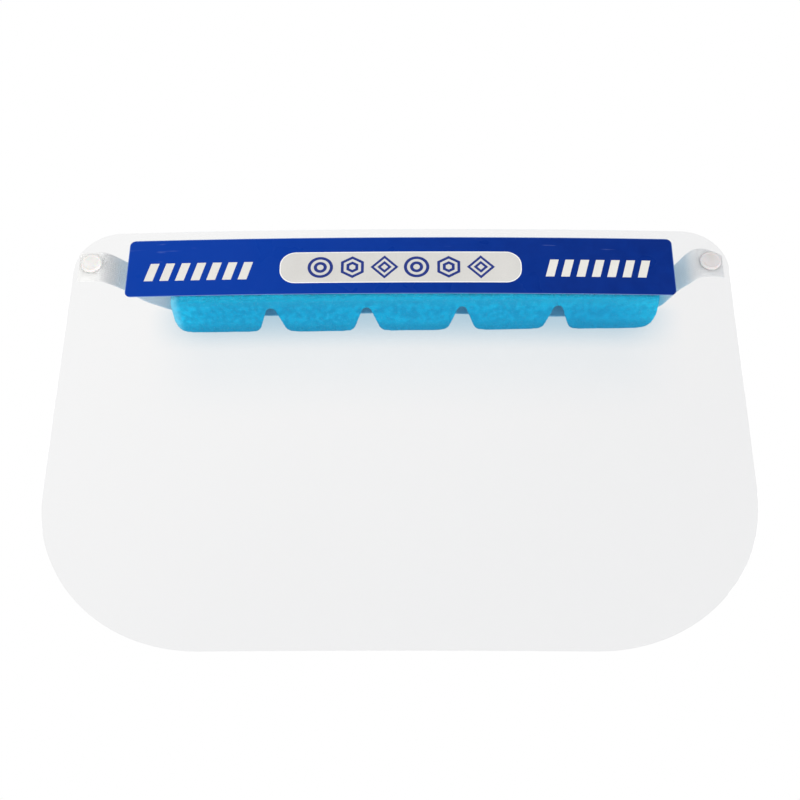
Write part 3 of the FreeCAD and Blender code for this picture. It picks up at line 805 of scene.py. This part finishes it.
def make_foam_pad():
    """The pad as one soft block: cut edges worn round, and a skin of fine pores."""
    outline = pad_outline()
    rings = [[Vector((p.x, p.y, z)) for p in outline] for z in (FOAM_LOW.z, FOAM_HIGH.z)]
    material = foam_material()
    pad = make_piece("foam_pad_soft", *loft(rings), material)
    remesh = pad.modifiers.new("voxels", "REMESH")
    remesh.mode = "VOXEL"
    remesh.voxel_size = PAD_VOXEL
    remesh.use_smooth_shade = True
    soften = pad.modifiers.new("soften", "SMOOTH")
    soften.factor = 0.5
    soften.iterations = 2
    apply_modifiers(pad)
    moved = [c for vertex in pad.data.vertices for c in worn_skin(vertex)]
    pad.data.vertices.foreach_set("co", moved)
    pad.data.materials.clear()
    pad.data.materials.append(material)
    pad.data.shade_smooth()
    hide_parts("foam_pad")
    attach(pad, "brow_pad")
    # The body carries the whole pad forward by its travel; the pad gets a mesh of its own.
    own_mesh(pad)


# ---------------------------------------------------------------- the elastic

STRAP_HALF_THICKNESS = 0.42 * MM
RIBS = 15
RIB_HEIGHT = 0.05 * MM
# Against the middle: how square the section is, and the least thickness of its edges.
EDGE_POWER = 24
EDGE_LEAST = 0.25
BEHIND_SHEET = -0.8 * MM

# Each half's course from its snap to the pad's middle, in millimetres: across, how deep (None
# where it lies along the sheet), and the heights of its two edges.
LEFT_COURSE = [
    (-157.4, None, 12.9, -4.2),
    (-153.0, None, 12.9, -4.2),
    (-149.0, None, 12.9, -4.2),
    (-146.0, -24.9, 12.9, -4.3),
    (-142.5, -23.2, 12.7, -4.5),
    (-138.8, -20.6, 12.3, -4.6),
    (-135.0, -17.4, 11.9, -4.8),
    (-127.0, -9.3, 11.4, -5.2),
    (-121.5, -6.0, 11.0, -5.6),
    (-114.0, -2.2, 10.8, -6.1),
    (-105.0, 0.5, 10.5, -6.7),
    (-90.0, 0.5, 10.0, -7.2),
    (-63.0, 0.5, 9.2, -8.0),
    (-30.0, 0.5, 10.3, -6.9),
    (6.9, 0.5, 10.6, -6.6),
]
RIGHT_COURSE = [
    (157.3, None, 9.9, -3.4),
    (153.0, None, 12.4, -2.6),
    (148.5, None, 13.8, -2.7),
    (145.0, -24.3, 14.0, -3.4),
    (141.0, -21.4, 13.4, -4.5),
    (136.5, -15.6, 11.6, -4.4),
    (132.5, -9.3, 11.2, -5.2),
    (128.5, -4.2, 11.0, -6.0),
    (122.0, -0.8, 10.8, -6.4),
    (113.0, 0.5, 10.4, -6.9),
    (98.0, 0.5, 9.2, -8.1),
    (77.0, 0.5, 8.2, -9.0),
    (52.0, 0.5, 9.2, -8.0),
    (30.0, 0.5, 9.9, -7.3),
    (6.9, 0.5, 10.6, -6.6),
]


def smooth_course(course, step=1.2 * MM):
    """The course as (place, half width) stations about a step apart, on a Catmull-Rom curve."""
    knots = []
    for across, deep, top, low in course:
        if deep is None:
            depth = on_sheet(across * MM, 0, BEHIND_SHEET).y
        else:
            depth = deep * MM
        knots.append(Vector((across * MM, depth, (top + low) / 2 * MM, (top - low) / 2 * MM)))
    padded = [knots[0] * 2 - knots[1], *knots, knots[-1] * 2 - knots[-2]]
    stations = []
    for before, start, stop, after in zip(padded, padded[1:], padded[2:], padded[3:]):
        spans = max(1, round((stop - start).length / step))
        for n in range(spans):
            t = n / spans
            doubled = (
                start * 2
                + (stop - before) * t
                + (before * 2 - start * 5 + stop * 4 - after) * t * t
                + (start * 3 - before - stop * 3 + after) * t**3
            )
            stations.append(doubled / 2)
    return stations + [knots[-1]]


def strap_section(station, facing):
    """One ring round the elastic: ribbed on both faces, thinner at its two edges."""
    half_width = station.w
    steps = RIBS * 6
    ring = []
    for side in (1, -1):
        for n in range(steps + 1):
            share = (2 * n / steps - 1) * side
            rib = RIB_HEIGHT * math.cos(math.pi * share * RIBS)
            edge = math.sqrt(max(0.0, 1 - abs(share) ** EDGE_POWER))
            thick = (STRAP_HALF_THICKNESS - RIB_HEIGHT + rib) * max(edge, EDGE_LEAST)
            offset = Vector((0, 0, share * half_width)) + facing * (thick * side)
            ring.append(station.xyz + offset)
    return ring


def make_strap_half(name, course, material):
    """One half of the elastic, with a weave map of lengths along it and heights across it."""
    stations = smooth_course(course)
    rings = []
    travelled = [0.0]
    for n, station in enumerate(stations):
        last = stations[max(n - 1, 0)].xyz
        following = stations[min(n + 1, len(stations) - 1)].xyz
        along = following - last
        facing = Vector((along.y, -along.x, 0)).normalized()
        rings.append(strap_section(station, facing))
        if n:
            travelled.append(travelled[-1] + (station.xyz - last).length)
    piece = make_piece(name, *loft(rings), material)
    size = len(rings[0])
    weave = piece.data.uv_layers.new(name="weave")
    for corner in piece.data.loops:
        row, column = divmod(corner.vertex_index, size)
        weave.data[corner.index].uv = (travelled[row], rings[row][column].z)
    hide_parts("elastic_strap")
    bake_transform(piece)


# ---------------------------------------------------------------- the snaps

# Painted light: one white plastic, lighter on the left cap where the key light falls and darker
# on the right cap as painted shade.
CAP_LIT_AND_SHADED_WHITES = {"left": (0.72, 0.71, 0.69), "right": (0.575, 0.553, 0.55)}
# In millimetres: the cap's height at its middle, and how fast its dome falls with the radius.
DOME_TOP = 1.45
DOME_FALL = 0.01925
# Radius and height, in millimetres, of the raised bead, the rim, and the pin and its head.
CAP_BEAD = [(3.68, 1.19), (3.95, 1.24), (4.18, 1.31), (4.42, 1.30), (4.68, 1.20)]
CAP_RIM = [(4.93, 1.02), (5.08, 0.78), (5.18, 0.5), (5.2, 0.2), (5.16, 0.03), (5.08, 0.0)]
CAP_PIN = [(1.55, 0.0), (1.55, -1.95), (2.2, -1.95), (2.2, -2.4), (2.0, -2.45), (0.1, -2.45)]


def snap_place(side):
    """On the sheet's front at one snap's middle, with local +Z pointing out of the sheet."""
    low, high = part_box(side + "_snap_cap")
    across, up = (low.x + high.x) / 2, (low.z + high.z) / 2
    centre = on_sheet(across, up)
    outward = (centre - BEND_CENTRE - Vector((0, 0, up))).normalized()
    right = Vector((0, 0, 1)).cross(outward)
    turned = Matrix((right, Vector((0, 0, 1)), outward)).transposed().to_4x4()
    return Matrix.Translation(centre) @ turned


def cap_profile():
    """From the dome's middle out over a bead, round the rim, and down the pin to its head."""
    dome = [(radius, DOME_TOP - DOME_FALL * radius**2) for radius in (1.0, 2.0, 2.8, 3.4)]
    profile = [(0.0001, DOME_TOP), *dome, *CAP_BEAD, *CAP_RIM, *CAP_PIN]
    return [(radius * MM, height * MM) for radius, height in profile]


def make_snaps():
    """Both snaps: a cap that replaces the CAD one, and the same plastic on its socket."""
    for side, colour in CAP_LIT_AND_SHADED_WHITES.items():
        material = snap_material(side + "_snap_plastic_painted_light", colour)
        cap = lathe(side + "_cap", cap_profile(), snap_place(side), material)
        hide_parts(side + "_snap_cap")
        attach(cap, side + "_snap")
        set_material(side + "_snap_socket", material)


# ---------------------------------------------------------------- the whole scene

bpy.context.scene.view_settings.view_transform = "Standard"
make_camera()
make_world()
make_lights()
make_floor()
set_material("visor", clear_sheet_material())
set_material("header_band", header_film_material())
set_material("foam_tape", tape_material())
make_prints()
make_foam_pad()
elastic = elastic_material()
make_strap_half("elastic_left", LEFT_COURSE, elastic)
make_strap_half("elastic_right", RIGHT_COURSE, elastic)
make_snaps()
